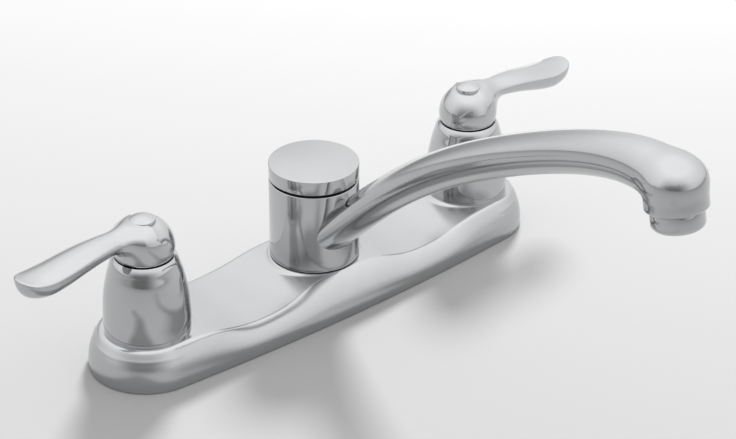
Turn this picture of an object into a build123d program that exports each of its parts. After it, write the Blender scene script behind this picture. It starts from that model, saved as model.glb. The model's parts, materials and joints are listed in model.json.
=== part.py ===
from build123d import *
import os
from math import cos, radians, sin, sqrt

# Two-handle kitchen faucet on an oblong base plate, with a swivelling spout.
# Millimetres. The origin is on the deck under the spout's axis, +Z is up, the spout
# points to -Y, the hot handle stands at -X and the cold handle at +X.
# Pieces of a handle set are drawn about X = 0 with the lever to +X, then moved out to
# the cold side and mirrored to the hot side.

# ---- Fits ----
slip = 0.05            # radial clearance of parts that turn or screw together
plate_gap = 0.3        # gap between pieces that pass without bearing on each other
overcut = 1.0          # how far a cut runs past the surface it opens

# ---- Base plate ----
handle_spacing = 203.2       # between the two handle axes, 8 in
plate_end_r = 28.4           # round ends, about the handle axes
plate_half_depth = 32.4      # at the middle
plate_rim_z = 0.4            # rim above the deck, the gasket takes the load
plate_wall_z = 3.0           # where the upright rim starts to lean in
plate_crest_r = 3.0          # rounding along the shoulder
cavity_crest_r = 1.0         # and on the hollow underside
plate_thickness = 3.0
post_pad_z = 20.7            # seat under the spout's hub
handle_pad_z = 20.0          # seat under the bonnets
valley_z = 15.0              # lowest part of the top, between two seats
post_pad_r = 22.6
handle_pad_r = 21.2
pad_skirt = 4.6              # each seat slopes down by this much, at 45 degrees
post_slope = 34.0            # shoulder's slope at the crest, by the post
handle_slope = 57.0          # and by the handles
post_side = [(0.0, 1.0), (0.1, 0.98), (0.2, 0.84), (0.28, 0.53), (0.36, 0.2),
             (0.44, 0.04), (0.51, 0.0)]
handle_side = [(0.59, 0.05), (0.67, 0.28), (0.75, 0.64), (0.84, 0.9),
               (0.92, 0.99), (1.0, 1.0)]
# Each pair is (distance from the middle as a share of the handle axis's distance,
# height of the top as a share of the way from the valley to the seat).

# ---- Gasket and deck ----
gasket_thickness = 3.0
gasket_inset = 2.2           # inside the plate's outline
deck_thickness = 20.0        # deck that the shanks are drawn through

# ---- Valve bodies ----
shank_r = 12.0               # mounting thread, through the deck and the locknut
thread_spare = 2.0           # mounting thread left below the locknut
tail_r = 10.3                # supply thread, 1/2-14 straight pipe
tail_length = 16.0
waterway_r = 6.0
base_r = 14.0
flange_r = 17.5
flange_thickness = 5.0
barrel_r = 15.0
barrel_top_z = 40.0
seat_z = 14.0                # floor of the cartridge's bore
bore_r = 10.5                # for the cartridge
inlet_r = 3.0
outlet_offset = 8.4          # drilling that leads the mixed side down to the tube
outlet_r = 1.8

# ---- Crossover tubes ----
tube_z = 7.4
tube_r = 4.2
tube_bore_r = 3.4
tube_insertion = 4.0

# ---- Mounting hardware ----
washer_r = 17.0
washer_thickness = 2.0
locknut_flats = 34.0
locknut_height = 12.0

# ---- Cartridges ----
seal_outer_r = 6.4
seal_inner_r = 4.9
seal_height = 3.0
disc_pocket_r = 8.6
disc_r = 8.2
fixed_disc_thickness = 3.0
moving_disc_thickness = 2.4
disc_port_r = 1.9
disc_port_offset = 2.7
disc_gap = 0.05
cartridge_lower_r = 9.4
cartridge_shoulder_z = 30.0
cartridge_top_z = 38.0
pocket_top_z = 27.0
window_width = 7.0
window_land = 1.0            # ring left between the windows and the pocket's top
ring_groove_z = 34.0
ring_section_r = 0.7
retainer_flats = 24.0
retainer_head = 5.0

# ---- Stems ----
stem_r = 4.95
spline_r = 4.2
spline_flats = 6.8
spline_start_z = 46.0
spline_top_z = 66.5
stem_hole_r = 2.45
stem_hole_depth = 14.0
driver_lug = 3.0
driver_lug_depth = 1.0

# ---- Bonnets ----
bonnet_profile = [(20.3, 20.0), (20.6, 26.0), (20.45, 31.0), (19.95, 38.0),
                  (19.35, 42.0), (18.55, 46.0), (17.6, 50.0), (16.4, 54.0),
                  (15.4, 56.8), (14.2, 58.4)]
bonnet_wall = 2.2
bonnet_thread_z = 28.0
bonnet_thread_length = 8.0
bonnet_opening_r = 9.0

# ---- Handles ----
head_profile = [(13.7, 59.1), (14.3, 60.7), (14.5, 62.8), (14.3, 65.0),
                (13.7, 67.5), (12.65, 70.0), (11.4, 72.0), (9.9, 73.8),
                (8.3, 75.1), (6.5, 75.7)]
head_skirt_wall = 2.6
head_boss_r = 7.5
head_cavity_height = 5.5
lever_controls = [(6.0, 71.5, 8.6, 3.6, 6.0), (16.3, 73.2, 4.1, 3.9, 5.5),
                  (19.7, 71.4, 7.4, 3.7, 5.8), (27.2, 72.8, 9.7, 3.2, 6.4),
                  (37.7, 73.6, 8.5, 2.9, 8.0), (46.3, 69.5, 8.6, 2.6, 9.6),
                  (53.7, 66.1, 11.0, 2.4, 10.1), (62.1, 68.0, 11.2, 2.5, 10.0),
                  (68.6, 71.5, 6.9, 2.5, 8.2), (68.7, 71.8, 1.5, 0.7, 1.8)]
# Control points of a smooth curve through the lever: distance from the handle's axis,
# height of the side edges, half width, crown above the edges, hull below them.
lever_sections = 23
hull_fullness = (0.6, 0.75)  # how far the hull's sides bulge, across and down
screw_seat_z = 68.5
screw_head_r = 4.1
screw_head_height = 3.0
screw_r = 2.4
screw_length = 15.0
hex_socket_flats = 3.0
hex_socket_depth = 2.0
button_seat_z = 72.2
button_r = 6.1
button_rim_z = 77.1
button_top_z = 78.9
button_cavity_r = 4.6
button_cavity_height = 2.2

# ---- Centre post ----
post_r = 14.0
post_base_r = 12.0
post_flange_r = 18.0
post_flange_z = 12.0
post_water_top_z = 50.0
port_r = 3.5
port_z = 42.0
cap_thread_r = 9.0
cap_thread_length = 5.0
glide_groove_r = 13.15
glide_height = 4.5
glide_z = (21.2, 57.0)       # lower faces of the two rings
o_ring_z = (33.0, 52.0)
o_ring_section_r = 1.45
o_ring_groove_height = 3.4

# ---- Spout hub and cap ----
hub_r = 21.9
hub_gap = 0.3                # hub over the plate's seat
hub_top_z = 62.0
hub_bore_r = 16.0
washer_gap = 0.3             # hub under the thrust washer
thrust_washer_r = 20.4
thrust_washer_height = 1.1
cap_top_z = 70.7
edge_break = 0.4

# ---- Spout arm and outlet ----
spout_reach = 229.3          # spout axis to the middle of the outlet, 9 in
outlet_height = 133.6        # above the deck
outlet_tilt = 11.2           # the outlet leans out by this, in degrees
collar_r = 13.5
collar_foot = 8.7            # collar's lower edge above the outlet
collar_chamfer = 1.0
elbow_height = 18.4          # elbow's centre above the outlet, along its axis
arm_root_z = 33.5            # arm's middle line where it starts, inside the hub
arm_wall = 2.0
arm_controls = [(0.0443, 0.0, 13.8, 9.2), (0.1657, 0.2198, 11.2, 8.5),
                (0.2747, 0.4472, 9.4, 8.6), (0.3819, 0.6214, 9.2, 9.3),
                (0.5210, 0.7474, 9.5, 9.7), (0.7017, 0.9044, 9.0, 9.0),
                (0.8799, 1.1095, 9.3, 8.7), (1.0, 1.0, 13.1, 12.7)]
# Control points of a smooth curve along the arm: share of the elbow's reach, share of
# its rise over the root, half width, half height. The passage keeps the wall inside it.
arm_sections = 21
outlet_passage_r = 8.5
washer_ledge = 1.5           # lip that the aerator's washer seals on

# ---- Aerator ----
aerator_r = 11.4
aerator_round = 3.0
aerator_thread_r = 10.95
aerator_thread_top = 15.5
aerator_bore_r = 9.2
aerator_lip = 1.6
aerator_opening_r = 8.2
aerator_washer_height = 1.5
insert_hole_r = 1.25
insert_hole_pitch = 3.6
insert_rings = 2
screen_thickness = 1.2
screen_hole_r = 0.7
screen_hole_pitch = 2.3
screen_rings = 3

handle_x = handle_spacing / 2
elbow_reach = spout_reach - elbow_height * sin(radians(outlet_tilt))
elbow_z = outlet_height + elbow_height * cos(radians(outlet_tilt))
cap_z = hub_top_z + washer_gap + thrust_washer_height
OUTLET = Plane(origin=(0, -spout_reach, outlet_height), x_dir=(1, 0, 0),
               z_dir=(0, sin(radians(outlet_tilt)), cos(radians(outlet_tilt))))


# ---- Helpers ----
def rod(radius, z0, z1):
    """A cylinder on the Z axis from z0 up to z1."""
    return Pos(0, 0, z0) * extrude(Circle(radius), amount=z1 - z0)


def ring(outer, inner, z0, z1):
    """A washer-shaped solid on the Z axis."""
    return Pos(0, 0, z0) * extrude(Circle(outer) - Circle(inner), amount=z1 - z0)


def rod_along_x(radius, x0, x1, z):
    """A cylinder along X at height z."""
    start = Plane(origin=(x0, 0, z), x_dir=(0, 1, 0), z_dir=(1, 0, 0))
    return start * extrude(Circle(radius), amount=x1 - x0)


def hexagon(flats, z0, z1):
    """A hexagonal prism on the Z axis, given across its flats."""
    outline = RegularPolygon(flats / 2, 6, major_radius=False)
    return Pos(0, 0, z0) * extrude(outline, amount=z1 - z0)


def turned(edges):
    """The solid turned about Z from an outline drawn in the XZ plane."""
    return revolve(make_face(Plane.XZ * Wire(edges)), Axis.Z)


def hole_grid(radius, pitch, rings, z0, z1):
    """Round rods in hexagonal rings about the Z axis, for a perforated disc."""
    rods = []
    for row in range(-rings, rings + 1):
        for step in range(-rings, rings + 1):
            if abs(row + step) <= rings:
                x = pitch * (step + row / 2)
                y = pitch * row * sqrt(3) / 2
                rods.append(Pos(x, y, 0) * rod(radius, z0, z1))
    return rods


def blend(controls, share):
    """The point at this share along the Bezier curve of the control points."""
    while len(controls) > 1:
        pairs = zip(controls, controls[1:])
        controls = [tuple(a + share * (b - a) for a, b in zip(*pair)) for pair in pairs]
    return controls[0]


def cold_side(part):
    """Moves a piece drawn about X = 0 out to the cold handle's axis."""
    return Pos(handle_x, 0, 0) * part


def hot_side(part):
    """The mirror image of the cold side's piece."""
    return mirror(cold_side(part), about=Plane.YZ)


# ---- Base plate and gasket ----
def plate_side_r():
    """Radius of the plate's long sides, which run into the round ends."""
    rise = plate_half_depth - plate_end_r
    return (handle_x ** 2 + rise ** 2) / (2 * rise)


def plate_half_width(x):
    side_r = plate_side_r()
    return plate_half_depth - side_r + sqrt(side_r ** 2 - x ** 2)


def plate_stations():
    """(distance from the middle, height of the top, slope at the crest)."""
    stations = []
    for share, weight in post_side:
        top = valley_z + weight * (post_pad_z - valley_z)
        stations.append((share * handle_x, top, post_slope))
    for share, weight in handle_side:
        top = valley_z + weight * (handle_pad_z - valley_z)
        slope = post_slope + weight * (handle_slope - post_slope)
        stations.append((share * handle_x, top, slope))
    return stations


def plate_shoulder(side, half_width, bottom, top, slope, crest_r):
    """Edges of one side (1 or -1), from the middle of the top down to the foot."""
    tilt = radians(slope)
    wall_r = (top - plate_wall_z - crest_r * (1 - cos(tilt))) / cos(tilt)
    corner_width = half_width - wall_r * (1 - sin(tilt))
    middle = (0, top)
    crest = (side * (corner_width - crest_r * sin(tilt)), top)
    corner = (side * corner_width, plate_wall_z + wall_r * cos(tilt))
    knee = (side * half_width, plate_wall_z)
    foot = (side * half_width, bottom)
    return [Line(middle, crest),
            TangentArc(crest, corner, tangent=(side, 0)),
            TangentArc(corner, knee, tangent=(side * cos(tilt), -sin(tilt))),
            Line(knee, foot)]


def plate_half_section(half_width, bottom, top, slope, crest_r):
    """Half of the plate's section, to be turned into a round end."""
    edges = plate_shoulder(1, half_width, bottom, top, slope, crest_r)
    edges += [Line((half_width, bottom), (0, bottom)), Line((0, bottom), (0, top))]
    return make_face(Plane.XZ * Wire(edges))


def plate_section(x, half_width, bottom, top, slope, crest_r):
    right = plate_shoulder(1, half_width, bottom, top, slope, crest_r)
    left = plate_shoulder(-1, half_width, bottom, top, slope, crest_r)
    foot = Line((-half_width, bottom), (half_width, bottom))
    across = Plane(origin=(x, 0, 0), x_dir=(0, 1, 0), z_dir=(1, 0, 0))
    return across * make_face(Wire(right + left + [foot]))


def plate_form(inset, bottom, drop, crest_r):
    """The plate's outer form, or its cavity when inset and lowered."""
    stations = plate_stations()
    both_ways = [(-x, top, slope) for x, top, slope in reversed(stations[1:])] + stations
    sections = []
    for x, top, slope in both_ways:
        half_width = plate_half_width(x) - inset
        sections.append(plate_section(x, half_width, bottom, top - drop, slope, crest_r))
    body = loft(sections)
    end = plate_half_section(plate_end_r - inset, bottom, handle_pad_z - drop,
                             handle_slope, crest_r)
    for side in (handle_x, -handle_x):
        body += Pos(side, 0, 0) * revolve(end, Axis.Z)
    return body


def plate_outline(inset):
    """The plate's plan, drawn in by inset."""
    depth = plate_half_depth - inset
    end_r = plate_end_r - inset
    tip = handle_x + end_r
    return make_face(Wire([
        ThreePointArc((-handle_x, end_r), (0, depth), (handle_x, end_r)),
        ThreePointArc((handle_x, end_r), (tip, 0), (handle_x, -end_r)),
        ThreePointArc((handle_x, -end_r), (0, -depth), (-handle_x, -end_r)),
        ThreePointArc((-handle_x, -end_r), (-tip, 0), (-handle_x, end_r))]))


def seat(radius, top):
    """A flat round seat with a sloping skirt, raised from the plate's top."""
    skirt = Cone(radius + pad_skirt, radius, pad_skirt)
    return Pos(0, 0, top - pad_skirt / 2) * skirt


def both_sides(part):
    return cold_side(part) + hot_side(part)


def escutcheon():
    body = plate_form(0, plate_rim_z, 0, plate_crest_r)
    body += seat(post_pad_r, post_pad_z) + both_sides(seat(handle_pad_r, handle_pad_z))
    body -= plate_form(plate_thickness, 0, plate_thickness, cavity_crest_r)
    body -= extrude(plate_outline(gasket_inset), amount=gasket_thickness)
    post_ceiling = post_pad_z - plate_thickness
    handle_ceiling = handle_pad_z - plate_thickness
    body -= rod(post_flange_r + plate_gap, 0, post_ceiling)
    body -= both_sides(rod(flange_r + plate_gap, 0, handle_ceiling))
    body -= rod(post_r + plate_gap, 0, post_pad_z)
    body -= both_sides(rod(barrel_r + plate_gap, 0, handle_pad_z))
    body -= rod(post_pad_r, post_pad_z, post_pad_z + overcut)
    level = rod(handle_pad_r, handle_pad_z, handle_pad_z + overcut)
    return body - both_sides(level)


def deck_gasket():
    body = extrude(plate_outline(gasket_inset + slip), amount=gasket_thickness)
    return body - both_sides(rod(shank_r + plate_gap, 0, gasket_thickness))


# ---- Waterways ----
def valve_body():
    """Brass body with its shank, the crossover side towards the middle (-X)."""
    flange_top = handle_pad_z - plate_thickness
    shank_foot = locknut_foot() - thread_spare
    tail_foot = shank_foot - tail_length
    body = rod(tail_r, tail_foot, shank_foot)
    body += rod(shank_r, shank_foot, gasket_thickness)
    body += rod(base_r, gasket_thickness, flange_top)
    body += rod(flange_r, flange_top - flange_thickness, flange_top)
    body += rod(barrel_r, flange_top, barrel_top_z)
    floor = seat_z - seal_height
    body -= rod(waterway_r, tail_foot, floor)
    body -= rod(inlet_r, floor, seat_z)
    body -= rod(bore_r, seat_z, barrel_top_z)
    body -= Pos(-outlet_offset, 0, 0) * rod(outlet_r, tube_z, seat_z)
    body -= rod_along_x(tube_bore_r, -base_r, -outlet_offset, tube_z)
    body -= rod_along_x(tube_r + slip, -base_r, tube_insertion - base_r, tube_z)
    return body


def crossover_tube():
    """Carries one side's water from its valve body to the post, drawn in place at +X."""
    start = post_base_r - tube_insertion
    end = handle_x - base_r + tube_insertion
    outer = rod_along_x(tube_r, start, end, tube_z)
    return outer - rod_along_x(tube_bore_r, start, end, tube_z)


def centre_post():
    flange_top = post_pad_z - plate_thickness
    body = rod(post_base_r, gasket_thickness, flange_top)
    body += rod(post_flange_r, post_flange_z, flange_top)
    body += rod(post_r, flange_top, cap_z)
    body += rod(cap_thread_r, cap_z, cap_z + cap_thread_length)
    body -= rod(waterway_r, tube_z, post_water_top_z)
    body -= rod_along_x(tube_bore_r, -post_base_r, post_base_r, tube_z)
    for start in (-post_base_r, post_base_r - tube_insertion):
        body -= rod_along_x(tube_r + slip, start, start + tube_insertion, tube_z)
    across = rod_along_x(port_r, -post_r, post_r, port_z)
    body -= across + Rot(0, 0, 90) * across
    for height in glide_z:
        body -= ring(post_r + overcut, glide_groove_r, height, height + glide_height)
    for height in o_ring_z:
        low = height - o_ring_groove_height / 2
        groove_r = hub_bore_r - slip - 2 * o_ring_section_r - slip
        body -= ring(post_r + overcut, groove_r, low, low + o_ring_groove_height)
    return body


# ---- Mounting hardware ----
def shank_washer():
    return ring(washer_r, shank_r + plate_gap, -deck_thickness - washer_thickness,
                -deck_thickness)


def locknut_foot():
    return -deck_thickness - washer_thickness - locknut_height


def locknut():
    low = locknut_foot()
    high = low + locknut_height
    return hexagon(locknut_flats, low, high) - rod(shank_r + slip, low, high)


# ---- Cartridges ----
def seat_seal():
    return ring(seal_outer_r, seal_inner_r, seat_z, seat_z + seal_height)


def fixed_disc():
    low = seat_z + seal_height
    body = rod(disc_pocket_r - slip, low, low + fixed_disc_thickness)
    for side in (-disc_port_offset, disc_port_offset):
        port = rod(disc_port_r, low, low + fixed_disc_thickness)
        body -= Pos(side, 0, 0) * port
    return body


def moving_disc_z():
    return seat_z + seal_height + fixed_disc_thickness + disc_gap


def driver_z():
    return moving_disc_z() + moving_disc_thickness


def driver_lugs(clearance):
    """Two lugs on the underside of the stem's driver, or with clearance their notches."""
    width = driver_lug + 2 * clearance
    middle = disc_r - driver_lug
    lug = Pos(0, 0, driver_z() - driver_lug_depth / 2) * Box(width, width, driver_lug_depth)
    return [Pos(side * middle, 0, 0) * lug for side in (-1, 1)]


def moving_disc():
    """Shut, its two radial ports lie a quarter turn from the fixed disc's."""
    low = moving_disc_z()
    body = rod(disc_r, low, driver_z())
    depth = moving_disc_thickness - driver_lug_depth
    for side in (-1, 1):
        slot = Box(2 * disc_port_r, disc_r, depth)
        middle = side * (disc_port_offset + disc_r / 2)
        body -= Pos(0, middle, low + depth / 2) * slot
    return body - driver_lugs(slip)


def cartridge_body():
    low = seat_z + seal_height
    body = rod(cartridge_lower_r, low, cartridge_shoulder_z)
    body += rod(bore_r - slip, cartridge_shoulder_z, cartridge_top_z)
    body -= rod(disc_pocket_r, low, pocket_top_z)
    body -= rod(stem_r + slip, pocket_top_z, cartridge_top_z)
    window_top = pocket_top_z - window_land
    window_low = moving_disc_z()
    window = Box(window_width, 2 * bore_r, window_top - window_low)
    body -= Pos(0, 0, (window_top + window_low) / 2) * window
    groove_r = bore_r - slip - 2 * ring_section_r
    low = ring_groove_z - ring_section_r - slip
    high = ring_groove_z + ring_section_r + slip
    return body - ring(bore_r, groove_r, low, high)


def cartridge_o_ring():
    major = bore_r - slip - ring_section_r
    return Pos(0, 0, ring_groove_z) * Torus(major, ring_section_r)


def retainer_nut():
    body = rod(bore_r - slip, cartridge_top_z, barrel_top_z)
    body += hexagon(retainer_flats, barrel_top_z, barrel_top_z + retainer_head)
    return body - rod(stem_r + plate_gap, cartridge_top_z, barrel_top_z + retainer_head)


# ---- Stems and handles ----
def splined(radius, flats, z0, z1):
    """A rod with two flats, for the stem's end and the handle's socket."""
    slab = Box(flats, 2 * radius + overcut, z1 - z0)
    return rod(radius, z0, z1) & Pos(0, 0, (z0 + z1) / 2) * slab


def stem():
    body = rod(disc_r, driver_z(), pocket_top_z - slip)
    body += driver_lugs(0)
    body += rod(stem_r, pocket_top_z - slip, spline_start_z)
    body += splined(spline_r, spline_flats, spline_start_z, spline_top_z)
    return body - rod(stem_hole_r, spline_top_z - stem_hole_depth, spline_top_z)


def bonnet():
    foot = bonnet_profile[0]
    top = bonnet_profile[-1]
    inner = [(r - bonnet_wall, z) for r, z in bonnet_profile]
    ceiling = (bonnet_opening_r, top[1] - bonnet_wall)
    inner_top = (inner[-2][0], ceiling[1])
    shell = turned([Line((foot[0] - bonnet_wall, foot[1]), foot),
                    Spline(*bonnet_profile),
                    Line(top, (bonnet_opening_r, top[1])),
                    Line((bonnet_opening_r, top[1]), ceiling),
                    Line(ceiling, inner_top),
                    Spline(inner_top, *reversed(inner[:-2]))])
    high = bonnet_thread_z + bonnet_thread_length
    collar = ring(inner[3][0] + bonnet_wall / 2, barrel_r + slip, bonnet_thread_z, high)
    return shell + collar


def lever():
    """The handle's lever, pointing to +X from the axis."""
    sections = []
    for index in range(lever_sections):
        share = index / (lever_sections - 1)
        x, edge_z, half_width, crown, hull = blend(lever_controls, share)
        across = Plane(origin=(x, 0, edge_z), x_dir=(0, 1, 0), z_dir=(1, 0, 0))
        outline = [ThreePointArc((half_width, 0), (0, crown), (-half_width, 0))]
        for side in (-half_width, half_width):
            outline.append(Bezier((side, 0), (side, -hull * hull_fullness[1]),
                                  (side * hull_fullness[0], -hull), (0, -hull)))
        sections.append(across * make_face(Wire(outline)))
    return loft(sections)


def handle():
    foot = head_profile[0]
    rim = head_profile[-1]
    head = turned([Line((0, foot[1]), foot), Spline(*head_profile),
                   Line(rim, (0, rim[1])), Line((0, rim[1]), (0, foot[1]))])
    body = head + lever()
    low = foot[1]
    body -= ring(foot[0] - head_skirt_wall, head_boss_r, low, low + head_cavity_height)
    body -= splined(spline_r + slip, spline_flats + 2 * slip, low, spline_top_z + slip)
    body -= rod(screw_r + plate_gap, spline_top_z, screw_seat_z)
    body -= rod(screw_head_r + plate_gap, screw_seat_z, button_seat_z)
    return body - rod(button_r + slip, button_seat_z, button_top_z)


def handle_screw():
    head_top = screw_seat_z + screw_head_height
    body = rod(screw_r, screw_seat_z - screw_length, screw_seat_z)
    body += rod(screw_head_r, screw_seat_z, head_top)
    return body - hexagon(hex_socket_flats, head_top - hex_socket_depth, head_top)


def index_button():
    """A plain domed plug over the handle's screw."""
    body = turned([Line((0, button_seat_z), (button_r, button_seat_z)),
                   Line((button_r, button_seat_z), (button_r, button_rim_z)),
                   TangentArc((0, button_top_z), (button_r, button_rim_z),
                              tangent=(1, 0)),
                   Line((0, button_top_z), (0, button_seat_z))])
    return body - rod(button_cavity_r, button_seat_z, button_seat_z + button_cavity_height)


# ---- Spout bearings and cap ----
def spout_glide_rings():
    rings = []
    for height in glide_z:
        low, high = height, height + glide_height
        rings.append(ring(hub_bore_r - slip, glide_groove_r + slip, low, high))
    return Compound(children=rings)


def spout_o_rings():
    major = hub_bore_r - slip - o_ring_section_r
    rings = [Pos(0, 0, height) * Torus(major, o_ring_section_r) for height in o_ring_z]
    return Compound(children=rings)


def spout_thrust_washer():
    return ring(thrust_washer_r, post_r + slip, cap_z - thrust_washer_height, cap_z)


def spout_cap():
    body = rod(hub_r, cap_z, cap_top_z)
    body = chamfer(body.edges().group_by(Axis.Z)[0], edge_break)
    body = fillet(body.edges().group_by(Axis.Z)[-1], edge_break)
    return body - rod(cap_thread_r + slip, cap_z, cap_z + cap_thread_length + slip)


# ---- Spout ----
def arm_point(share):
    """Reach, height, half width and half height of the arm at this share of its length."""
    reach, lift, half_width, half_height = blend(arm_controls, share)
    height = arm_root_z + lift * (elbow_z - arm_root_z)
    return reach * elbow_reach, height, half_width, half_height


def arm_form(inset):
    """The arm's outer form, or its passage when inset by the wall."""
    sections = []
    step = 1 / (arm_sections - 1)
    for index in range(arm_sections):
        share = index * step
        reach, height, half_width, half_height = arm_point(share)
        before = arm_point(max(share - step / 2, 0))
        after = arm_point(min(share + step / 2, 1))
        along = (0, before[0] - after[0], after[1] - before[1])
        across = Plane(origin=(0, -reach, height), x_dir=(1, 0, 0), z_dir=along)
        sections.append(across * Ellipse(half_width - inset, half_height - inset))
    return loft(sections)


def spout():
    hub_low = post_pad_z + hub_gap
    hub = rod(hub_r, hub_low, hub_top_z)
    hub = chamfer(hub.edges().filter_by(GeomType.CIRCLE), edge_break)
    collar = rod(collar_r, collar_foot, elbow_height)
    collar = chamfer(collar.edges().group_by(Axis.Z)[0], collar_chamfer)
    dome = Pos(0, 0, elbow_height) * Sphere(collar_r) & rod(collar_r, elbow_height,
                                                            elbow_height + collar_r)
    head = OUTLET * (collar + dome)
    body = hub + arm_form(0) + head
    body -= OUTLET * rod(collar_r, 0, collar_foot)
    body -= arm_form(arm_wall)
    body -= rod(hub_bore_r, hub_low, hub_top_z)
    seat_height = aerator_thread_top + aerator_washer_height
    ledge_top = seat_height + washer_ledge
    body += OUTLET * rod(collar_r - collar_chamfer, collar_foot, ledge_top)
    body -= OUTLET * rod(aerator_thread_r + slip, collar_foot, seat_height)
    return body - OUTLET * rod(outlet_passage_r, seat_height, ledge_top)


# ---- Aerator ----
def aerator_housing():
    skirt = rod(aerator_r, 0, collar_foot)
    skirt = fillet(skirt.edges().group_by(Axis.Z)[0], aerator_round)
    body = skirt + rod(aerator_thread_r, collar_foot, aerator_thread_top)
    body -= rod(aerator_bore_r, aerator_lip, aerator_thread_top)
    return OUTLET * (body - rod(aerator_opening_r, 0, aerator_lip))


def aerator_insert():
    high = aerator_thread_top - screen_thickness
    body = rod(aerator_bore_r - slip, aerator_lip, high)
    body -= hole_grid(insert_hole_r, insert_hole_pitch, insert_rings, aerator_lip, high)
    return OUTLET * body


def aerator_screen():
    low = aerator_thread_top - screen_thickness
    body = rod(aerator_bore_r - slip, low, aerator_thread_top)
    body -= hole_grid(screen_hole_r, screen_hole_pitch, screen_rings, low,
                      aerator_thread_top)
    return OUTLET * body


def aerator_washer():
    high = aerator_thread_top + aerator_washer_height
    return OUTLET * ring(aerator_thread_r - slip, outlet_passage_r, aerator_thread_top,
                         high)


# ---- All pieces ----
single_pieces = [escutcheon, deck_gasket, centre_post, spout_glide_rings, spout_o_rings,
                 spout_thrust_washer, spout_cap, spout, aerator_housing,
                 aerator_insert, aerator_screen, aerator_washer]
handle_set = [valve_body, shank_washer, locknut, bonnet, cartridge_body,
              cartridge_o_ring, retainer_nut, fixed_disc, seat_seal, moving_disc,
              stem, handle, handle_screw, index_button]

os.makedirs("parts", exist_ok=True)
for piece in single_pieces:
    export_step(piece(), f"parts/{piece.__name__}.step")
for piece in handle_set:
    drawn = piece()
    export_step(cold_side(drawn), f"parts/cold_{piece.__name__}.step")
    export_step(hot_side(drawn), f"parts/hot_{piece.__name__}.step")
tube = crossover_tube()
export_step(tube, "parts/cold_crossover_tube.step")
export_step(mirror(tube, about=Plane.YZ), "parts/hot_crossover_tube.step")
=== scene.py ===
import json

import bmesh
import bpy
import numpy as np
from mathutils import Matrix, Vector


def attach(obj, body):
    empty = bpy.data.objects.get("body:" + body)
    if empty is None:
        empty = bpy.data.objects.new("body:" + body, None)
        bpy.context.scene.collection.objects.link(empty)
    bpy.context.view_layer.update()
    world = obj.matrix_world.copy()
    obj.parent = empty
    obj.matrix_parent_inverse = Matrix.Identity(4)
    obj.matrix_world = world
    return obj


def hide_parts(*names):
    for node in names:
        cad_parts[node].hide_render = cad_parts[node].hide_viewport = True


# Looks for the two-handle kitchen faucet. Shapes are worked out in millimetres in the
# row frame and stored in metres. The polished pieces are remade here as fine meshes
# with true normals, because chrome shows every facet of a coarse one.

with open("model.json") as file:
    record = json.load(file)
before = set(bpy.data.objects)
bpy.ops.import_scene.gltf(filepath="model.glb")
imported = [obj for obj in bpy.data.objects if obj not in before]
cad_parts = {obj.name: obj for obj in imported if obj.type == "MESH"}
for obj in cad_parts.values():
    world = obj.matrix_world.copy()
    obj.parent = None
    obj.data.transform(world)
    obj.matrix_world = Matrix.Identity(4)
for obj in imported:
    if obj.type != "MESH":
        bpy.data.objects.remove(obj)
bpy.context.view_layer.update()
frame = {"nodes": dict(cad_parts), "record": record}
MM = 0.001

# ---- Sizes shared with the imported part, in millimetres ----
HANDLE_X = 101.6
HUB_R, HUB_LOW, HUB_TOP = 21.9, 21.0, 62.0
HUB_BORE_R = 16.0
CAP_LOW, CAP_TOP = 63.4, 70.7
SPOUT_REACH, OUTLET_Z, OUTLET_TILT = 229.3, 133.6, np.radians(11.2)
COLLAR_R, COLLAR_FOOT, ELBOW_UP = 13.5, 8.7, 18.4
AERATOR_R = 11.4
BEVEL = 0.4

ARM_CONTROLS = np.array([
    (0.0443, 0.0, 13.8, 9.2), (0.1657, 0.2198, 11.2, 8.5), (0.2747, 0.4472, 9.4, 8.6),
    (0.3819, 0.6214, 9.2, 9.3), (0.5210, 0.7474, 9.5, 9.7), (0.7017, 0.9044, 9.0, 9.0),
    (0.8799, 1.1095, 9.3, 8.7), (1.0, 1.0, 13.1, 12.7)])
ELBOW_REACH = SPOUT_REACH - ELBOW_UP * np.sin(OUTLET_TILT)
ELBOW_Z = OUTLET_Z + ELBOW_UP * np.cos(OUTLET_TILT)
ARM_ROOT_Z = 33.5
LEVER_CONTROLS = np.array([
    (6.0, 71.5, 8.6, 3.6, 6.0), (16.3, 73.2, 4.1, 3.9, 5.5), (19.7, 71.4, 7.4, 3.7, 5.8),
    (27.2, 72.8, 9.7, 3.2, 6.4), (37.7, 73.6, 8.5, 2.9, 8.0), (46.3, 69.5, 8.6, 2.6, 9.6),
    (53.7, 66.1, 11.0, 2.4, 10.1), (62.1, 68.0, 11.2, 2.5, 10.0),
    (68.6, 71.5, 6.9, 2.5, 8.2), (68.7, 71.8, 1.5, 0.7, 1.8)])


# ---- Mesh helpers ----
def add_object(mesh, name, body, nodes):
    """Puts a mesh in the scene, riding on its body in place of its CAD nodes."""
    piece = bpy.data.objects.new(name, mesh)
    bpy.context.scene.collection.objects.link(piece)
    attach(piece, body)
    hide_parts(*nodes)


def mesh_from(name, points, faces):
    """A smooth-shaded mesh from points in millimetres."""
    mesh = bpy.data.meshes.new(name)
    mesh.from_pydata((np.asarray(points) * MM).tolist(), [], faces)
    mesh.update()
    mesh.polygons.foreach_set("use_smooth", np.ones(len(mesh.polygons), bool))
    return mesh


def joined(name, meshes, mirrored=False):
    """One mesh from several, keeping their normals; mirrored in X for the hot side."""
    points, faces, normals = [], [], []
    start = 0
    for mesh_points, mesh_faces, mesh_normals in meshes:
        points.append(np.asarray(mesh_points, float))
        normals.append(np.asarray(mesh_normals, float))
        faces += [[start + i for i in face] for face in mesh_faces]
        start += len(mesh_points)
    points, normals = np.vstack(points), np.vstack(normals)
    if mirrored:
        points[:, 0] *= -1
        normals[:, 0] *= -1
        faces = [face[::-1] for face in faces]
    mesh = mesh_from(name, points, faces)
    mesh.normals_split_custom_set_from_vertices(normals.tolist())
    return mesh


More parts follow.
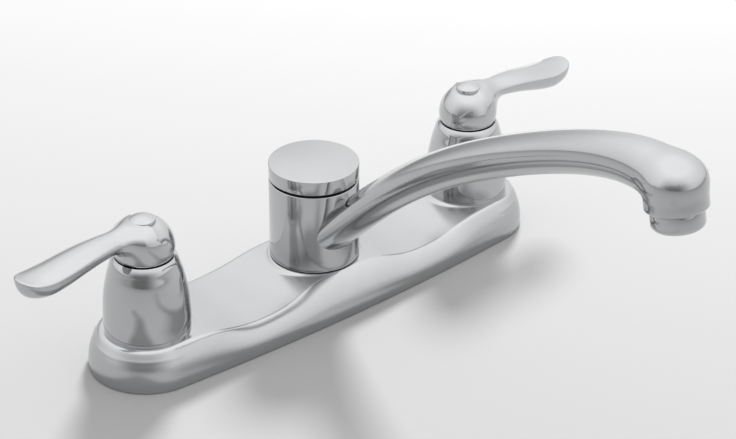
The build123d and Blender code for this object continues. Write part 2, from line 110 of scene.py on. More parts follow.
def spline(points, count):
    """A smooth curve through the points: a natural cubic, by chord length."""
    points = np.asarray(points, float)
    gaps = np.linalg.norm(np.diff(points, axis=0), axis=1)
    knots = np.concatenate([[0], np.cumsum(gaps)])
    size = len(points)
    matrix = np.eye(size)
    right = np.zeros_like(points)
    for i in range(1, size - 1):
        matrix[i, i - 1:i + 2] = gaps[i - 1], 2 * (gaps[i - 1] + gaps[i]), gaps[i]
        right[i] = 6 * ((points[i + 1] - points[i]) / gaps[i]
                        - (points[i] - points[i - 1]) / gaps[i - 1])
    bend = np.linalg.solve(matrix, right)
    at = np.linspace(0, knots[-1], count)
    i = np.clip(np.searchsorted(knots, at) - 1, 0, size - 2)
    gap = gaps[i][:, None]
    a = (knots[i + 1] - at)[:, None] / gap
    b = 1 - a
    return (a * points[i] + b * points[i + 1]
            + ((a ** 3 - a) * bend[i] + (b ** 3 - b) * bend[i + 1]) * gap ** 2 / 6)


def rounded(corners, radii, steps=7):
    """A profile through the corners, each rounded by its radius (0 keeps it sharp).
    Gives a list of smooth stretches."""
    corners = [np.asarray(c, float) for c in corners]
    stretch, stretches = [corners[0]], []
    for before, corner, after, radius in zip(corners, corners[1:], corners[2:], radii):
        into = (corner - before) / np.linalg.norm(corner - before)
        out = (after - corner) / np.linalg.norm(after - corner)
        if radius == 0:
            stretches.append(np.array(stretch + [corner]))
            stretch = [corner]
            continue
        turn = np.arccos(np.clip(into @ out, -1, 1))
        back = radius * np.tan(turn / 2)
        side = out - into * (into @ out)
        side /= np.linalg.norm(side)
        centre = corner - into * back + side * radius
        for angle in np.linspace(0, turn, steps):
            stretch.append(centre + radius * (np.sin(angle) * into - np.cos(angle) * side))
    stretches.append(np.array(stretch + [corners[-1]]))
    return stretches


def turned(stretches, segments=160):
    """Points, faces and normals of a profile turned about Z. The profile runs so that
    the outside lies on its right-hand side when it goes up."""
    points, faces, normals = [], [], []
    angles = np.linspace(0, 2 * np.pi, segments, endpoint=False)
    for stretch in stretches:
        stretch = np.asarray(stretch, float)
        along = np.gradient(stretch, axis=0)
        lengths = np.linalg.norm(np.diff(stretch, axis=0), axis=1)
        steps = np.diff(stretch, axis=0) / lengths[:, None]
        along[0], along[-1] = steps[0], steps[-1]
        if len(steps) > 1:
            # The turn at a point follows the shorter of its two neighbouring steps.
            weight = (1 / lengths[:-1])[:, None], (1 / lengths[1:])[:, None]
            along[1:-1] = (steps[:-1] * weight[0] + steps[1:] * weight[1])
        along /= np.linalg.norm(along, axis=1)[:, None]
        start = sum(len(p) for p in points)
        ring = len(stretch)
        block = np.empty((segments, ring, 3))
        normal = np.empty((segments, ring, 3))
        for k, angle in enumerate(angles):
            c, s = np.cos(angle), np.sin(angle)
            block[k] = np.column_stack([stretch[:, 0] * c, stretch[:, 0] * s, stretch[:, 1]])
            normal[k] = np.column_stack([along[:, 1] * c, along[:, 1] * s, -along[:, 0]])
        points.append(block.reshape(-1, 3))
        normals.append(normal.reshape(-1, 3))
        for k in range(segments):
            here, there = start + k * ring, start + (k + 1) % segments * ring
            for j in range(ring - 1):
                faces.append([here + j, there + j, there + j + 1, here + j + 1])
    return np.vstack(points), faces, np.vstack(normals)


def placed(shape, matrix):
    """A shape moved by a 4 x 4 matrix that keeps its size."""
    points, faces, normals = shape
    matrix = np.asarray(matrix, float)
    return points @ matrix[:3, :3].T + matrix[:3, 3], faces, normals @ matrix[:3, :3].T


def moved(x, y, z):
    matrix = np.eye(4)
    matrix[:3, 3] = x, y, z
    return matrix


def slope_of(field, points, step=0.02):
    """The gradient of a field at the points."""
    slope = np.empty_like(points)
    for axis in range(3):
        shift = np.zeros(3)
        shift[axis] = step
        slope[:, axis] = (field(points + shift) - field(points - shift)) / (2 * step)
    return slope


def skin(field, low, high, step):
    """Points, faces and normals of the surface where the field is 0 (inside is below
    0): one point for each grid cell that it crosses, then drawn on to the surface."""
    axes = [np.arange(a, b + step, step) for a, b in zip(low, high)]
    shape = tuple(len(a) for a in axes)
    grid = np.stack(np.meshgrid(*axes, indexing="ij"), -1).reshape(-1, 3)
    values = np.concatenate([field(part) for part in np.array_split(grid, 40)])
    values = values.reshape(shape)
    inside = values < 0
    cells = tuple(n - 1 for n in shape)
    total, count = np.zeros(cells + (3,)), np.zeros(cells)
    crossed_edges = []
    for axis in range(3):
        first = [slice(None)] * 3
        second = [slice(None)] * 3
        first[axis], second[axis] = slice(0, -1), slice(1, None)
        a, b = values[tuple(first)], values[tuple(second)]
        cross = inside[tuple(first)] != inside[tuple(second)]
        share = np.where(cross, a / np.where(cross, a - b, 1), 0)
        others = [k for k in range(3) if k != axis]
        for da in (0, 1):
            for db in (0, 1):
                part = [slice(None)] * 3
                part[others[0]] = slice(da, da + cells[others[0]])
                part[others[1]] = slice(db, db + cells[others[1]])
                here = cross[tuple(part)]
                offset = np.zeros(cells + (3,))
                offset[..., axis] = share[tuple(part)]
                offset[..., others[0]] = da
                offset[..., others[1]] = db
                total += offset * here[..., None]
                count += here
        crossed_edges.append((axis, others, np.argwhere(cross), inside[tuple(first)]))
    used = count > 0
    number = -np.ones(cells, int)
    number[used] = np.arange(used.sum())
    corner = np.argwhere(used)
    points = (np.array([a[0] for a in axes])
              + (corner + total[used] / count[used][:, None]) * step)
    faces = []
    for axis, others, edges, solid in crossed_edges:
        keep = np.all([(edges[:, o] > 0) & (edges[:, o] < cells[o]) for o in others], axis=0)
        edges = edges[keep]
        around = []
        for da, db in ((0, 0), (-1, 0), (-1, -1), (0, -1)):
            cell = edges.copy()
            cell[:, others[0]] += da
            cell[:, others[1]] += db
            around.append(number[tuple(cell.T)])
        around = np.stack(around, 1)
        flip = solid[tuple(edges.T)] ^ (axis == 1)
        around[flip] = around[flip][:, ::-1]
        faces.append(around)
    faces = np.vstack(faces)
    faces = faces[(faces >= 0).all(1)]
    for _ in range(5):
        slope = slope_of(field, points)
        size = np.maximum((slope ** 2).sum(1), 0.04)
        shift = -slope * (field(points) / size)[:, None]
        length = np.linalg.norm(shift, axis=1)
        shift *= np.minimum(1, step * 0.5 / np.maximum(length, 1e-9))[:, None]
        points = points + shift
    slope = slope_of(field, points)
    normals = slope / np.maximum(np.linalg.norm(slope, axis=1), 1e-9)[:, None]
    return points, faces[:, ::-1].tolist(), normals


def soft_min(a, b, width):
    """The smaller of two fields, with the seam between them filled over a width."""
    share = np.clip(0.5 + 0.5 * (b - a) / width, 0, 1)
    return b + (a - b) * share - width * share * (1 - share)


def soft_max(a, b, width):
    return -soft_min(-a, -b, width)


def bezier_table(controls, count):
    """Points along the Bezier curve of the control rows."""
    share = np.linspace(0, 1, count)[:, None, None]
    rows = np.repeat(controls[None], count, axis=0)
    while rows.shape[1] > 1:
        rows = rows[:, :-1] + share * (rows[:, 1:] - rows[:, :-1])
    return rows[:, 0]


# ---- Spout arm and elbow, as one field ----
ARM = bezier_table(ARM_CONTROLS * [ELBOW_REACH, ELBOW_Z - ARM_ROOT_Z, 1, 1], 1201)
ARM[:, 1] += ARM_ROOT_Z
ARM_PACE = np.gradient(ARM[:, :2], axis=0)
ARM_BEND = np.gradient(ARM_PACE, axis=0)
ARM_SIN, ARM_COS = np.sin(OUTLET_TILT), np.cos(OUTLET_TILT)


def row_at(table, at):
    """A table's values between its rows."""
    low = np.clip(at.astype(int), 0, len(table) - 2)
    share = (at - low)[:, None]
    return table[low] * (1 - share) + table[low + 1] * share


def arm_field(points):
    """Distance from the swept arm: each point is measured in the section it lies in."""
    place = np.stack([-points[:, 1], points[:, 2]], 1)
    coarse = ARM[::30, :2]
    at = ((place[:, None] - coarse) ** 2).sum(2).argmin(1) * 30.0
    last = len(ARM) - 1.0
    for _ in range(6):
        gap, pace = place - row_at(ARM, at)[:, :2], row_at(ARM_PACE, at)
        speed = (pace ** 2).sum(1)
        turning = speed - (gap * row_at(ARM_BEND, at)).sum(1)
        step = (gap * pace).sum(1) / np.maximum(turning, 0.3 * speed)
        at = np.clip(at + np.clip(step, -40, 40), 0, last)
    here, pace = row_at(ARM, at), row_at(ARM_PACE, at)
    pace /= np.linalg.norm(pace, axis=1)[:, None]
    gap = place - here[:, :2]
    up = gap[:, 1] * pace[:, 0] - gap[:, 0] * pace[:, 1]
    past = (gap * pace).sum(1)
    root, tip = np.where(at <= 0, past, 0), np.where(at >= last, past, 0)
    wide, tall = here[:, 2], here[:, 3]
    ratio = np.sqrt((points[:, 0] / wide) ** 2 + (up ** 2 + tip ** 2) / tall ** 2 + 1e-6)
    side = (ratio - 1) * np.minimum(wide, tall)
    return np.hypot(np.maximum(side, 0), root) + np.minimum(side, 0)


def outlet_frame(points):
    """Radius and height of the points about the outlet's tilted axis."""
    y, z = points[:, 1] + SPOUT_REACH, points[:, 2] - OUTLET_Z
    across = y * ARM_COS - z * ARM_SIN
    up = y * ARM_SIN + z * ARM_COS
    return np.hypot(points[:, 0], across), up


def elbow_field(points):
    radius, up = outlet_frame(points)
    dome = np.hypot(radius, np.maximum(up - ELBOW_UP, 0)) - COLLAR_R
    foot = COLLAR_FOOT + 1.0 - up
    body = np.maximum(dome, foot)
    below = np.minimum(COLLAR_R - 0.1 - radius, foot + 1.0)
    arm = np.maximum(arm_field(points), below)
    # The seam is a wide sweep over the top and a tight corner underneath.
    return soft_min(arm, body, np.interp(up, [ELBOW_UP - 5, ELBOW_UP + 5], [1.2, 5.0]))


def outlet_matrix():
    matrix = np.eye(4)
    matrix[:3, 1] = 0, ARM_COS, -ARM_SIN
    matrix[:3, 2] = 0, ARM_SIN, ARM_COS
    matrix[:3, 3] = 0, -SPOUT_REACH, OUTLET_Z
    return matrix


def make_spout():
    points, faces, normals = skin(elbow_field, (-15, -245, 22), (15, -11, 170), 1.1)
    radius, up = outlet_frame(points)
    cut = (up < COLLAR_FOOT + 2.0) & (radius < COLLAR_R + 0.5) & (points[:, 1] < -200)
    arm = (points, [face for face in faces if not cut[face].any()], normals)
    hub = turned(rounded(
        [(HUB_BORE_R, HUB_LOW), (HUB_R, HUB_LOW), (HUB_R, HUB_TOP), (HUB_BORE_R, HUB_TOP),
         (HUB_BORE_R, HUB_LOW)], [BEVEL, BEVEL, 0]))
    foot = turned(rounded(
        [(11.0, COLLAR_FOOT + 3), (11.0, COLLAR_FOOT), (COLLAR_R - 0.9, COLLAR_FOOT),
         (COLLAR_R - 0.01, COLLAR_FOOT + 0.9), (COLLAR_R - 0.01, COLLAR_FOOT + 4.5)],
        [0, 0.25, 0.4]))
    return joined("spout_shell", [arm, hub, placed(foot, outlet_matrix())])


# ---- Handles ----
LEVER = bezier_table(LEVER_CONTROLS, 801)
LEVER_END = 68.7
TIP_FROM = 52.0
HEAD_R, HEAD_UP, HEAD_DOWN = 14.5, 15.2, 11.0
HEAD_MIDDLE, HEAD_TOP, HEAD_FOOT = 62.8, 75.6, 58.8
BUTTON_R, BUTTON_RIM, BUTTON_TOP, BUTTON_LOW = 6.1, 77.1, 78.9, 72.4


def fitted(column, degree, low=7.0, high=66.0):
    """A polynomial through one column of the lever's table, by the distance."""
    rows = LEVER[(LEVER[:, 0] > low) & (LEVER[:, 0] < high)]
    return np.polyfit(rows[:, 0], rows[:, column], degree)


EDGE_FIT = fitted(1, 7)
CROWN_FIT = fitted(3, 5)
TIP_X = LEVER[:, 0]
TIP_SHARE = np.sqrt(np.clip(1 - (np.maximum(TIP_X - TIP_FROM, 0)
                                 / (LEVER_END - TIP_FROM)) ** 2, 1e-4, 1))
STEADY = (TIP_X > 7) & (TIP_X < 66.5)
WIDTH_FIT = np.polyfit(TIP_X[STEADY], (LEVER[:, 2] / TIP_SHARE)[STEADY], 8)
HULL_FIT = np.polyfit(TIP_X[STEADY], (LEVER[:, 4] / TIP_SHARE)[STEADY], 7)


def lever_field(points):
    """The lever along +X: a crowned top over a boat-shaped hull with a round end."""
    x = np.clip(points[:, 0], 7.0, LEVER_END)
    edge, crown = np.polyval(EDGE_FIT, x), np.polyval(CROWN_FIT, x)
    wide, hull = np.polyval(WIDTH_FIT, x), np.polyval(HULL_FIT, x)
    end = np.maximum(points[:, 0] - TIP_FROM, 0) / (LEVER_END - TIP_FROM)
    lift = points[:, 2] - edge
    plan = np.sqrt((points[:, 1] / wide) ** 2 + end ** 2 + 1e-8)
    top_slope = 2 * crown * plan / wide
    top = (lift - crown * (1 - plan ** 2)) / np.sqrt(1 + top_slope ** 2)
    down = np.maximum(-lift, 0) / hull
    fullness = 2.4
    ratio = (plan ** fullness + down ** fullness) ** (1 / fullness)
    under = (ratio - 1) * np.minimum(wide, hull)
    root = 4.0 - points[:, 0]
    return np.maximum(soft_max(top, under, 0.9), root)


def head_field(points):
    """The handle's round head: an egg with a flattened top."""
    radius = np.hypot(points[:, 0], points[:, 1])
    lift = points[:, 2] - HEAD_MIDDLE
    tall = np.where(lift > 0, HEAD_UP, HEAD_DOWN)
    ratio = np.sqrt((radius / HEAD_R) ** 2 + (lift / tall) ** 2 + 1e-8)
    ball = (ratio - 1) * 13.0
    return soft_max(ball, points[:, 2] - HEAD_TOP, 1.2)


def handle_field(points):
    return soft_min(head_field(points), lever_field(points), 7.0)


def make_handle(side):
    points, faces, normals = skin(
        lambda p: np.maximum(handle_field(p), HEAD_FOOT - p[:, 2]),
        (-16, -16.5, 57.5), (70, 16.5, 79), 0.62)
    # The cut underside is left out of the smooth skin and closed by a flat disc.
    height, under_z = points[:, 2], HEAD_FOOT + 0.02
    keep = [face for face in faces if max(height[face]) > under_z]
    low = height < HEAD_FOOT + 0.35
    normals[low & (np.abs(normals[:, 2]) > 0.9)] = (0, 0, -1)
    under = turned(rounded([(0.01, under_z), (13.6, under_z)], []))
    shape = [placed(part, moved(HANDLE_X, 0, 0))
             for part in ((points, keep, normals), under)]
    return joined(f"{side}_handle_shell", shape, mirrored=side == "hot")


def make_button(side):
    rise = BUTTON_TOP - BUTTON_RIM
    sphere_r = (BUTTON_R ** 2 + rise ** 2) / (2 * rise)
    reach = np.arcsin(BUTTON_R / sphere_r)
    arc = [(sphere_r * np.sin(a), BUTTON_TOP - sphere_r + sphere_r * np.cos(a))
           for a in np.linspace(reach * 0.93, 0.0005, 40)]
    edge = [(BUTTON_R, BUTTON_LOW), (BUTTON_R, BUTTON_RIM - 0.35),
            (BUTTON_R - 0.02, BUTTON_RIM - 0.15), (BUTTON_R - 0.12, BUTTON_RIM + 0.03),
            (BUTTON_R - 0.26, BUTTON_RIM + 0.13)]
    button = turned([np.array(edge + arc)], 96)
    button = placed(button, moved(HANDLE_X, 0, 0))
    return joined(f"{side}_index_button_shell", [button], mirrored=side == "hot")


def make_bonnet(side):
    outside = spline([(20.3, 20.0), (20.6, 26.0), (20.45, 31.0), (19.95, 38.0),
                      (19.35, 42.0), (18.55, 46.0), (17.6, 50.0), (16.4, 54.0),
                      (15.4, 56.8), (14.2, 58.4)], 90)
    lip = rounded([(14.2, 58.4), (9.0, 58.4), (9.0, 56.4)], [0.3])
    bonnet = turned([outside] + lip, 192)
    bonnet = placed(bonnet, moved(HANDLE_X, 0, 0))
    return joined(f"{side}_bonnet_shell", [bonnet], mirrored=side == "hot")


def make_cap():
    cap = turned(rounded(
        [(14.5, CAP_LOW), (HUB_R, CAP_LOW), (HUB_R, CAP_TOP - 0.15), (0.01, CAP_TOP)],
        [BEVEL, BEVEL]), 192)
    return joined("spout_cap_shell", [cap])


def make_aerator():
    housing = turned(rounded(
        [(9.2, 15.5), (9.2, 1.6), (8.2, 1.6), (8.2, 0.0), (AERATOR_R, 0.0),
         (AERATOR_R, COLLAR_FOOT), (10.9, COLLAR_FOOT), (10.9, 15.5), (9.2, 15.5)],
        [0, 0, 0.3, 3.0, 0.2, 0, 0]), 128)
    return joined("aerator_housing_shell", [placed(housing, outlet_matrix())])


# ---- Base plate ----
# Radius of the ends, half depth, foot and top of the upright rim, and the rounding into
# the top. Then the heights of the top at the post, at the sides and in the valleys
# between them, and the slope of the shoulder in degrees in the middle and at the sides.
END_R, HALF_DEPTH, RIM_Z, WALL_Z, CREST_R = 28.4, 32.4, 0.4, 3.0, 3.0
POST_Z, SIDE_Z, VALLEY_Z = 20.7, 20.0, 15.0
POST_SLOPE, SIDE_SLOPE = 34.0, 57.0
LIP_WIDE, LIP_TALL = 2.2, 2.6
# Distance from the middle as a share of the handles', and how much of the top's rise over
# the valley stands there.
WEIGHTS = [(0.0, 1.0), (0.1, 0.98), (0.2, 0.84), (0.28, 0.53), (0.36, 0.2), (0.44, 0.04),
           (0.51, 0.0), (0.59, 0.05), (0.67, 0.28), (0.75, 0.64), (0.84, 0.9),
           (0.92, 0.99), (1.0, 1.0)]


def plate_rows(x):
    """Half width, height of the top and slope of the shoulder at distance x."""
    both = [(-s, w) for s, w in WEIGHTS[:0:-1]] + WEIGHTS
    curve = spline([(s * 30, w * 8) for s, w in both], 2001)
    weight = np.clip(np.interp(abs(x) / HANDLE_X * 30, curve[:, 0], curve[:, 1]) / 8, 0, 1)
    if abs(x) < 0.51 * HANDLE_X:
        top, slope = VALLEY_Z + weight * (POST_Z - VALLEY_Z), POST_SLOPE
    else:
        top = VALLEY_Z + weight * (SIDE_Z - VALLEY_Z)
        slope = POST_SLOPE + weight * (SIDE_SLOPE - POST_SLOPE)
    rise = HALF_DEPTH - END_R
    side_r = (HANDLE_X ** 2 + rise ** 2) / (2 * rise)
    half = HALF_DEPTH - side_r + np.sqrt(side_r ** 2 - x ** 2)
    return half, top, slope


def shoulder(half, top, slope):
    """The section from the foot to the middle of the top, always as many points."""
    tilt = np.radians(slope)
    wall_r = (top - WALL_Z - CREST_R * (1 - np.cos(tilt))) / np.cos(tilt)
    corner = half - wall_r * (1 - np.sin(tilt))
    line = [(half, z) for z in np.linspace(RIM_Z, WALL_Z, 5)[:-1]]
    for turn in np.linspace(0, np.pi / 2 - tilt, 26):
        line.append((half - wall_r * (1 - np.cos(turn)), WALL_Z + wall_r * np.sin(turn)))
    for turn in np.linspace(tilt, 0, 12)[1:]:
        line.append((corner - CREST_R * (np.sin(tilt) - np.sin(turn)),
                     top - CREST_R * (1 - np.cos(turn))))
    start = line[-1][0]
    for share in np.linspace(0, 1, 40)[1:]:
        line.append((start * (1 - share), top))
    return np.array(line)


def lift_seats(points):
    """Raises the flat round seats, with their sloping skirts, softly out of the top."""
    for x, radius, top in ((0, 22.6, POST_Z), (HANDLE_X, 21.2, SIDE_Z),
                           (-HANDLE_X, 21.2, SIDE_Z)):
        away = np.hypot(points[:, 0] - x, points[:, 1])
        seat = top - np.maximum(away - radius, 0)
        near = away < radius + 4.5
        lifted = soft_max(points[:, 2], seat, 0.8)
        lifted = np.minimum(lifted, np.maximum(points[:, 2], top))
        points[:, 2] = np.where(near, lifted, points[:, 2])
    return points


def make_plate():
    """The plate's top, rim and ends, with a thin lip that turns up inside the foot."""
    rows, stations = [], np.linspace(-HANDLE_X, HANDLE_X, 407)
    for x in stations:
        line = shoulder(*plate_rows(x))
        front = np.column_stack([np.full(len(line), x), -line[:, 0], line[:, 1]])
        back = np.column_stack([np.full(len(line), x), line[:, 0], line[:, 1]])[::-1]
        rows.append(np.vstack([front, back[1:]]))
    points = np.vstack(rows)
    width = len(rows[0])
    faces = []
    for i in range(len(rows) - 1):
        for j in range(width - 1):
            a = i * width + j
            faces.append([a, a + width, a + width + 1, a + 1])
    end = shoulder(END_R, SIDE_Z, SIDE_SLOPE)
    turns = np.linspace(-np.pi / 2, np.pi / 2, 121)
    for way in (1, -1):
        start = len(points)
        block = [np.column_stack([way * (HANDLE_X + end[:, 0] * np.cos(t)),
                                  way * end[:, 0] * np.sin(t), end[:, 1]]) for t in turns]
        points = np.vstack([points] + block)
        ring = len(end)
        for k in range(len(turns) - 1):
            for j in range(ring - 1):
                a = start + k * ring + j
                faces.append([a, a + ring, a + ring + 1, a + 1])
    points = lift_seats(points)
    mesh = mesh_from("escutcheon_shell", points, faces)
    form = bmesh.new()
    form.from_mesh(mesh)
    bmesh.ops.remove_doubles(form, verts=form.verts, dist=2e-6)
    bmesh.ops.recalc_face_normals(form, faces=form.faces)
    rim = [edge for edge in form.edges if edge.is_boundary]
    inner = bmesh.ops.extrude_edge_only(form, edges=rim)
    lip = [v for v in inner["geom"] if isinstance(v, bmesh.types.BMVert)]
    for vert in lip:
        core = min(max(vert.co.x, -HANDLE_X * MM), HANDLE_X * MM)
        away = Vector((vert.co.x - core, vert.co.y, 0))
        vert.co -= away.normalized() * LIP_WIDE * MM
    edges = [e for e in form.edges if e.is_boundary]
    up = bmesh.ops.extrude_edge_only(form, edges=edges)
    for vert in [v for v in up["geom"] if isinstance(v, bmesh.types.BMVert)]:
        vert.co.z += LIP_TALL * MM
    bmesh.ops.recalc_face_normals(form, faces=form.faces)
    for edge in form.edges:
        if len(edge.link_faces) == 2 and edge.calc_face_angle(0) > 0.9:
            edge.smooth = False
    form.to_mesh(mesh)
    form.free()
    mesh.polygons.foreach_set("use_smooth", np.ones(len(mesh.polygons), bool))
    return mesh


# ---- Materials ----
def shader(name, **inputs):
    material = bpy.data.materials.new(name)
    material.use_nodes = True
    base = material.node_tree.nodes["Principled BSDF"]
    for key, value in inputs.items():
        base.inputs[key.replace("_", " ")].default_value = value
    return material, material.node_tree, base


def add_node(tree, kind, **values):
    node = tree.nodes.new(kind)
    for key, value in values.items():
        if key in node.inputs:
            node.inputs[key].default_value = value
        else:
            setattr(node, key, value)
    return node


def noise(tree, scale, detail=3.0):
    place = tree.nodes.new("ShaderNodeTexCoord")
    texture = add_node(tree, "ShaderNodeTexNoise", Scale=scale, Detail=detail)
    tree.links.new(place.outputs["Object"], texture.inputs["Vector"])
    return texture.outputs["Fac"]


def spread(tree, value, low, high):
    """Maps a noise value on to a range of roughness or grey."""
    node = tree.nodes.new("ShaderNodeMapRange")
    node.inputs["From Min"].default_value = 0.3
    node.inputs["From Max"].default_value = 0.7
    node.inputs["To Min"].default_value = low
    node.inputs["To Max"].default_value = high
    tree.links.new(value, node.inputs["Value"])
    return node.outputs["Result"]


def tinted(tree, value, dark, light):
    node = tree.nodes.new("ShaderNodeValToRGB")
    node.color_ramp.elements[0].position = 0.35
    node.color_ramp.elements[0].color = (*dark, 1)
    node.color_ramp.elements[1].position = 0.65
    node.color_ramp.elements[1].color = (*light, 1)
    tree.links.new(value, node.inputs["Fac"])
    return node.outputs["Color"]


def bumped(tree, base, value, strength, distance):
    node = add_node(tree, "ShaderNodeBump", Strength=strength, Distance=distance)
    tree.links.new(value, node.inputs["Height"])
    tree.links.new(node.outputs["Normal"], base.inputs["Normal"])


def chrome(name, rough):
    """Polished plating with faint haze and the slightest unevenness of the polish."""
    material, tree, base = shader(name, Metallic=1.0)
    tint = tinted(tree, noise(tree, 35.0), (0.485, 0.495, 0.505), (0.51, 0.515, 0.52))
    tree.links.new(tint, base.inputs["Base Color"])
    tree.links.new(spread(tree, noise(tree, 60.0, 6.0), *rough), base.inputs["Roughness"])
    bumped(tree, base, noise(tree, 90.0, 2.0), 0.02, 0.0004)
    return material


def metal(name, dark, light, rough, grain, depth):
    material, tree, base = shader(name, Metallic=1.0)
    tree.links.new(tinted(tree, noise(tree, grain), dark, light), base.inputs["Base Color"])
    tree.links.new(spread(tree, noise(tree, grain * 3, 6.0), *rough),
                   base.inputs["Roughness"])
    bumped(tree, base, noise(tree, grain * 8, 4.0), 0.25, depth)
    return material


def dull(name, dark, light, rough, grain, depth):
    material, tree, base = shader(name)
    tree.links.new(tinted(tree, noise(tree, grain), dark, light), base.inputs["Base Color"])
    tree.links.new(spread(tree, noise(tree, grain * 2, 5.0), *rough),
                   base.inputs["Roughness"])
    bumped(tree, base, noise(tree, grain * 6, 5.0), 0.3, depth)
    return material


FINISHES = {
    "chrome": chrome("chrome_plating", (0.06, 0.1)),
    "brass": metal("dull_brass", (0.52, 0.36, 0.15), (0.66, 0.49, 0.24), (0.28, 0.5),
                   120.0, 0.0002),
    "steel": metal("plain_steel", (0.42, 0.42, 0.43), (0.56, 0.56, 0.57), (0.25, 0.42),
                   150.0, 0.0001),
    "rubber": dull("black_rubber", (0.012, 0.012, 0.012), (0.03, 0.03, 0.032), (0.6, 0.85),
                   200.0, 0.0001),
    "black_plastic": dull("black_plastic", (0.02, 0.02, 0.022), (0.05, 0.05, 0.055),
                          (0.45, 0.65), 160.0, 0.0001),
    "white_plastic": dull("white_plastic", (0.74, 0.74, 0.72), (0.84, 0.84, 0.82),
                          (0.35, 0.5), 110.0, 0.00005),
    "ceramic": dull("lapped_ceramic", (0.82, 0.80, 0.76), (0.9, 0.88, 0.85), (0.08, 0.16),
                    90.0, 0.00002),
}
SOFT_CHROME = chrome("soft_chrome_plating", (0.1, 0.14))
SOFTER = {"escutcheon": chrome("plate_chrome_plating", (0.18, 0.24)),
          "spout": SOFT_CHROME, "hot_handle": SOFT_CHROME, "cold_handle": SOFT_CHROME}
SLOT_OF = {row["node"]: row["material_slot"] for row in frame["record"]["subparts"]}
for node_name, node_object in frame["nodes"].items():
    for material_slot in node_object.material_slots:
        material_slot.material = FINISHES[SLOT_OF[node_name]]

# ---- Pieces ----
made = [(make_plate(), "base", ["escutcheon"]),
        (make_cap(), "base", ["spout_cap"]),
        (make_spout(), "swivel_spout", ["spout"]),
        (make_aerator(), "swivel_spout", ["aerator_housing"])]
for side in ("hot", "cold"):
    made.append((make_bonnet(side), "base", [f"{side}_bonnet"]))
    made.append((make_handle(side), f"{side}_side_handle", [f"{side}_handle"]))
    made.append((make_button(side), f"{side}_side_handle", [f"{side}_index_button"]))
for mesh, body, nodes in made:
    mesh.materials.append(SOFTER.get(nodes[0], FINISHES["chrome"]))
    add_object(mesh, mesh.name.replace("_shell", "_visual"), body, nodes)


# ---- Stage: floor, lights and camera ----
def stage_material(name, color):
    material = bpy.data.materials.new(name)
    material.use_nodes = True
    base = material.node_tree.nodes["Principled BSDF"]
    base.inputs["Base Color"].default_value = (*color, 1)
    base.inputs["Roughness"].default_value = 0.9
    base.inputs["Specular IOR Level"].default_value = 0.0
    return material


def card(name, centre, facing, width, height, material):
    """A flat stage card, centred at a point and facing another."""
    mesh = bpy.data.meshes.new(name)
    w, h = width / 2, height / 2
    mesh.from_pydata([(-w, -h, 0), (w, -h, 0), (w, h, 0), (-w, h, 0)], [], [(0, 1, 2, 3)])
    mesh.materials.append(material)
    piece = bpy.data.objects.new(name, mesh)
    bpy.context.scene.collection.objects.link(piece)
    piece.location = centre
    way = Vector(facing) - Vector(centre)
    piece.rotation_mode = "QUATERNION"
    piece.rotation_quaternion = way.to_track_quat("Z", "Y")


floor_material = stage_material("pale_floor", (0.49, 0.49, 0.49))
card("floor", (0, 0, 0), (0, 0, 1), 12.0, 12.0, floor_material)


# The studio is a bright tent with two soft gaps in its walls. Each stop is an elevation
# in degrees and a brightness.
TENT = [(-90, 0.9), (-10, 0.9), (0, 1.0), (12, 1.12), (35, 1.3), (60, 1.52)]
# Direction of a gap in degrees from +Y towards +X, its half width, its softness, the
# height where it closes and how much of the light it takes.
GAPS = [(-130, 10, 60, 62, 0.8), (12, 4, 34, 34, 0.62)]


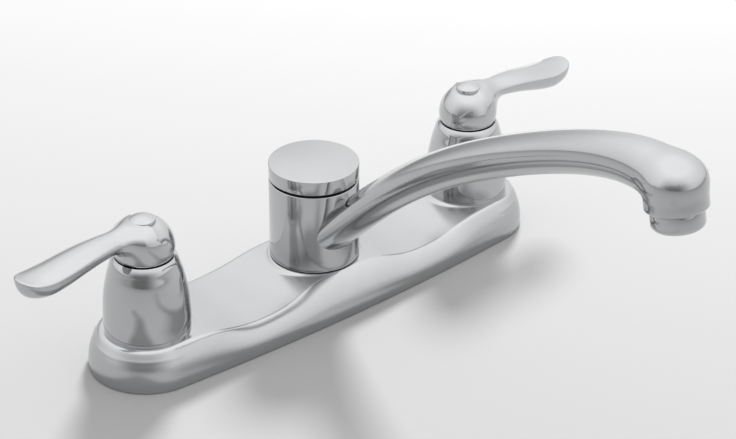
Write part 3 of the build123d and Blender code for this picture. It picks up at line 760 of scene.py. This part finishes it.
def studio_light(strength, fill):
    """World light by elevation, with the gaps taken out near the horizon. The ramp holds
    half of each brightness, because its colours end at 1."""
    world = bpy.data.worlds.new("studio")
    bpy.context.scene.world = world
    world.use_nodes = True
    tree = world.node_tree
    link = tree.links.new

    def math(operation, a, b=0.0, clamp=False):
        node = tree.nodes.new("ShaderNodeMath")
        node.operation, node.use_clamp = operation, clamp
        for socket, value in zip(node.inputs, (a, b)):
            if hasattr(value, "node"):
                link(value, socket)
            else:
                socket.default_value = value
        return node.outputs[0]

    def smooth(value, low, high):
        node = tree.nodes.new("ShaderNodeMapRange")
        node.interpolation_type = "SMOOTHSTEP"
        node.inputs["From Min"].default_value = low
        node.inputs["From Max"].default_value = high
        link(value, node.inputs["Value"])
        return node.outputs["Result"]

    place = tree.nodes.new("ShaderNodeTexCoord")
    split = tree.nodes.new("ShaderNodeSeparateXYZ")
    link(place.outputs["Generated"], split.inputs["Vector"])
    elevation = math("MULTIPLY", math("ARCSINE", split.outputs["Z"]), 180 / np.pi)
    azimuth = math("MULTIPLY", math("ARCTAN2", split.outputs["X"], split.outputs["Y"]),
                   180 / np.pi)
    ramp = tree.nodes.new("ShaderNodeValToRGB")
    link(math("ADD", math("DIVIDE", elevation, 180.0), 0.5), ramp.inputs["Fac"])
    stops = ramp.color_ramp.elements
    while len(stops) < len(TENT):
        stops.new(0.5)
    for stop, (height, level) in zip(stops, TENT):
        stop.position = height / 180 + 0.5
        stop.color = (level * 0.5, level * 0.5, level * 0.5, 1)
    light = ramp.outputs["Color"]
    for centre, half_width, softness, closes, depth in GAPS:
        turn = math("PINGPONG", math("SUBTRACT", azimuth, float(centre)), 180.0)
        across = math("SUBTRACT", 1.0, smooth(turn, half_width, half_width + softness))
        below = math("SUBTRACT", 1.0, smooth(elevation, -5.0, closes))
        share = math("SUBTRACT", 1.0, math("MULTIPLY", math("MULTIPLY", across, below), depth))
        scale = tree.nodes.new("ShaderNodeVectorMath")
        scale.operation = "SCALE"
        link(light, scale.inputs[0])
        link(share, scale.inputs["Scale"])
        light = scale.outputs["Vector"]
    background = tree.nodes["Background"]
    link(light, background.inputs["Color"])
    # The walls of the tent show at full strength and light the floor at less.
    ray = tree.nodes.new("ShaderNodeLightPath").outputs
    seen = math("ADD", ray["Is Camera Ray"], ray["Is Glossy Ray"])
    seen = math("ADD", seen, ray["Is Transmission Ray"], clamp=True)
    brightness = tree.nodes.new("ShaderNodeMapRange")
    brightness.inputs["To Min"].default_value = fill * 2
    brightness.inputs["To Max"].default_value = strength * 2
    link(seen, brightness.inputs["Value"])
    link(brightness.outputs["Result"], background.inputs["Strength"])


studio_light(strength=1.0, fill=0.68)


def key_light(azimuth, elevation, away, size, strength):
    """A soft lamp behind the object that only matt surfaces show."""
    data = bpy.data.lights.new("key", "AREA")
    data.shape, data.size = "DISK", size
    data.energy = strength * np.pi * away ** 2 * np.pi
    lamp = bpy.data.objects.new("key", data)
    bpy.context.scene.collection.objects.link(lamp)
    flat = away * np.cos(np.radians(elevation))
    lamp.location = (flat * np.sin(np.radians(azimuth)), flat * np.cos(np.radians(azimuth)),
                     away * np.sin(np.radians(elevation)))
    lamp.rotation_mode = "QUATERNION"
    lamp.rotation_quaternion = Vector(lamp.location).to_track_quat("Z", "Y")
    lamp.visible_glossy = False


key_light(azimuth=50, elevation=38, away=2.0, size=0.5, strength=1.3)

# ---- Camera, solved on the photograph ----
CAMERA_AT = (-0.65235, -0.7795, 0.62074)
AZIMUTH, PITCH, ROLL = np.radians([41.395, 29.819, 0.176])
camera_data = bpy.data.cameras.new("camera")
camera = bpy.data.objects.new("camera", camera_data)
bpy.context.scene.collection.objects.link(camera)
camera_data.sensor_width = 36.0
camera_data.lens = 117.995
camera_data.clip_start, camera_data.clip_end = 0.01, 50.0
look = Vector((np.sin(AZIMUTH) * np.cos(PITCH), np.cos(AZIMUTH) * np.cos(PITCH),
               -np.sin(PITCH)))
right = Vector((np.cos(AZIMUTH), -np.sin(AZIMUTH), 0))
upward = right.cross(look)
right_turned = right * np.cos(ROLL) + upward * np.sin(ROLL)
up_turned = upward * np.cos(ROLL) - right * np.sin(ROLL)
turn = Matrix((right_turned, up_turned, -look)).transposed()
camera.matrix_world = Matrix.Translation(CAMERA_AT) @ turn.to_4x4()
bpy.context.scene.camera = camera
bpy.context.scene.view_settings.view_transform = "Standard"
